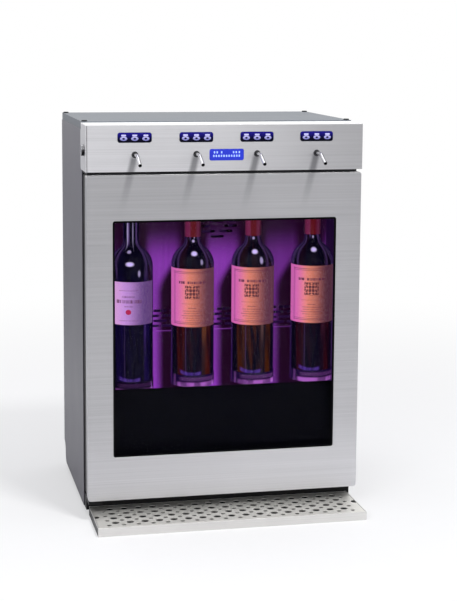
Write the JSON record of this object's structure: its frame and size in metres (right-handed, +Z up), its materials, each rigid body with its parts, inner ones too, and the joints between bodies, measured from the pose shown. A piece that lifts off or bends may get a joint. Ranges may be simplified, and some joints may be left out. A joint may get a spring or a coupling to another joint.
{
  "type": "wine preservation dispenser",
  "caption": "Free-standing cooled cabinet that keeps opened wine under gas and pours measured doses from spouts over a drip tray, behind a framed glass door.",
  "frame": {"origin": "middle of the footprint, on the surface that the feet and the tray stand on", "axes": "+Z up, +X to the right of the door, -Y towards the user"},
  "size_m": [0.485, 0.452, 0.684],
  "materials": {
    "casing": "satin grey",
    "brushed_steel": "brushed",
    "polished_steel": "polished",
    "zinc_steel": "plated",
    "black_metal": "satin black",
    "black_plastic": "matt",
    "rubber": "matt",
    "liner": "satin",
    "foam": "matt",
    "glass": "clear",
    "mask": "gloss black",
    "keypad": "gloss navy",
    "key": "gloss navy",
    "display": "lit blue",
    "board": "green board",
    "hose": "clear hose",
    "light": "lit violet",
    "bottle_dark": "dark glass",
    "bottle_amber": "amber glass"
  },
  "bodies": {
    "cabinet": {"base_pan": "black_metal", "feet": "rubber", "side_panels": "casing", "top_cover": "casing", "top_plugs": "black_plastic", "rear_panel": "casing", "front_frame": "black_metal", "liner": "liner", "insulation": "foam", "back_panel": "liner", "lower_screen": "mask", "lift_base": "zinc_steel", "fascia": "brushed_steel", "hinge_plate": "black_metal", "keypad_frames": "keypad", "display_unit": "display", "control_board": "board", "spouts": "polished_steel", "dispense_valves": "black_plastic", "wine_hoses": "hose", "gas_manifold": "zinc_steel", "dispense_heads": "polished_steel", "led_strips": "light", "evaporator": "zinc_steel", "fan_frame": "black_plastic", "compressor": "black_metal", "condenser": "black_metal", "power_inlet": "black_plastic", "lower_hinge_bracket": "black_metal", "lock_housing": "polished_steel", "lift_springs": "zinc_steel"},
    "door": {"door_skin": "brushed_steel", "door_frame": "black_plastic", "glass_panes": "glass", "door_mask": "mask", "door_gasket": "rubber"},
    "lock_plug": {"lock_cylinder": "polished_steel"},
    "fan": {"fan_rotor": "black_plastic"},
    "tray": {"drip_tray": "brushed_steel"},
    "tray_plate": {"tray_grid": "brushed_steel"},
    "key_1_small_button": {"key_1_small": "key"},
    "key_1_medium_button": {"key_1_medium": "key"},
    "key_1_large_button": {"key_1_large": "key"},
    "key_2_small_button": {"key_2_small": "key"},
    "key_2_medium_button": {"key_2_medium": "key"},
    "key_2_large_button": {"key_2_large": "key"},
    "key_3_small_button": {"key_3_small": "key"},
    "key_3_medium_button": {"key_3_medium": "key"},
    "key_3_large_button": {"key_3_large": "key"},
    "key_4_small_button": {"key_4_small": "key"},
    "key_4_medium_button": {"key_4_medium": "key"},
    "key_4_large_button": {"key_4_large": "key"},
    "lift_1_carriage": {"lift_1": "liner", "bottle_1": "bottle_dark"},
    "lift_2_carriage": {"lift_2": "liner", "bottle_2": "bottle_amber"},
    "lift_3_carriage": {"lift_3": "liner", "bottle_3": "bottle_amber"},
    "lift_4_carriage": {"lift_4": "liner", "bottle_4": "bottle_amber"}
  },
  "joints": [
    {"name": "door_hinge", "type": "hinge", "parent": "cabinet", "child": "door", "pos_m": [-0.231, -0.129, 0.3], "axis": [0, 0, -1], "range_deg": [0, 110]},
    {"name": "lock_turn", "type": "hinge", "parent": "cabinet", "child": "lock_plug", "pos_m": [-0.24, -0.117, 0.637], "axis": [-1, 0, 0], "range_deg": [0, 90]},
    {"name": "fan_spin", "type": "hinge", "parent": "cabinet", "child": "fan", "pos_m": [0.014, 0.009, 0.508], "axis": [0, 1, 0], "continuous": true},
    {"name": "tray_slide", "type": "slide", "parent": "cabinet", "child": "tray", "axis": [0, -1, 0], "range_m": [0, 0.12]},
    {"name": "plate_lift", "type": "slide", "parent": "tray", "child": "tray_plate", "axis": [0, 0, 1], "range_m": [0, 0.012]},
    {"name": "key_1_small_press", "type": "slide", "parent": "cabinet", "child": "key_1_small_button", "axis": [0, 1, 0], "range_m": [0, 0.0012], "stiffness_N_per_m": 400, "springref_m": -0.001},
    {"name": "key_1_medium_press", "type": "slide", "parent": "cabinet", "child": "key_1_medium_button", "axis": [0, 1, 0], "range_m": [0, 0.0012], "stiffness_N_per_m": 400, "springref_m": -0.001},
    {"name": "key_1_large_press", "type": "slide", "parent": "cabinet", "child": "key_1_large_button", "axis": [0, 1, 0], "range_m": [0, 0.0012], "stiffness_N_per_m": 400, "springref_m": -0.001},
    {"name": "key_2_small_press", "type": "slide", "parent": "cabinet", "child": "key_2_small_button", "axis": [0, 1, 0], "range_m": [0, 0.0012], "stiffness_N_per_m": 400, "springref_m": -0.001},
    {"name": "key_2_medium_press", "type": "slide", "parent": "cabinet", "child": "key_2_medium_button", "axis": [0, 1, 0], "range_m": [0, 0.0012], "stiffness_N_per_m": 400, "springref_m": -0.001},
    {"name": "key_2_large_press", "type": "slide", "parent": "cabinet", "child": "key_2_large_button", "axis": [0, 1, 0], "range_m": [0, 0.0012], "stiffness_N_per_m": 400, "springref_m": -0.001},
    {"name": "key_3_small_press", "type": "slide", "parent": "cabinet", "child": "key_3_small_button", "axis": [0, 1, 0], "range_m": [0, 0.0012], "stiffness_N_per_m": 400, "springref_m": -0.001},
    {"name": "key_3_medium_press", "type": "slide", "parent": "cabinet", "child": "key_3_medium_button", "axis": [0, 1, 0], "range_m": [0, 0.0012], "stiffness_N_per_m": 400, "springref_m": -0.001},
    {"name": "key_3_large_press", "type": "slide", "parent": "cabinet", "child": "key_3_large_button", "axis": [0, 1, 0], "range_m": [0, 0.0012], "stiffness_N_per_m": 400, "springref_m": -0.001},
    {"name": "key_4_small_press", "type": "slide", "parent": "cabinet", "child": "key_4_small_button", "axis": [0, 1, 0], "range_m": [0, 0.0012], "stiffness_N_per_m": 400, "springref_m": -0.001},
    {"name": "key_4_medium_press", "type": "slide", "parent": "cabinet", "child": "key_4_medium_button", "axis": [0, 1, 0], "range_m": [0, 0.0012], "stiffness_N_per_m": 400, "springref_m": -0.001},
    {"name": "key_4_large_press", "type": "slide", "parent": "cabinet", "child": "key_4_large_button", "axis": [0, 1, 0], "range_m": [0, 0.0012], "stiffness_N_per_m": 400, "springref_m": -0.001},
    {"name": "lift_1_travel", "type": "slide", "parent": "cabinet", "child": "lift_1_carriage", "axis": [0, 0, 1], "range_m": [-0.028, 0], "stiffness_N_per_m": 400, "springref_m": 0.05, "deforming": ["lift_springs"]},
    {"name": "lift_2_travel", "type": "slide", "parent": "cabinet", "child": "lift_2_carriage", "axis": [0, 0, 1], "range_m": [-0.028, 0], "stiffness_N_per_m": 400, "springref_m": 0.05, "deforming": ["lift_springs"]},
    {"name": "lift_3_travel", "type": "slide", "parent": "cabinet", "child": "lift_3_carriage", "axis": [0, 0, 1], "range_m": [-0.028, 0], "stiffness_N_per_m": 400, "springref_m": 0.05, "deforming": ["lift_springs"]},
    {"name": "lift_4_travel", "type": "slide", "parent": "cabinet", "child": "lift_4_carriage", "axis": [0, 0, 1], "range_m": [-0.028, 0], "stiffness_N_per_m": 400, "springref_m": 0.05, "deforming": ["lift_springs"]}
  ]
}
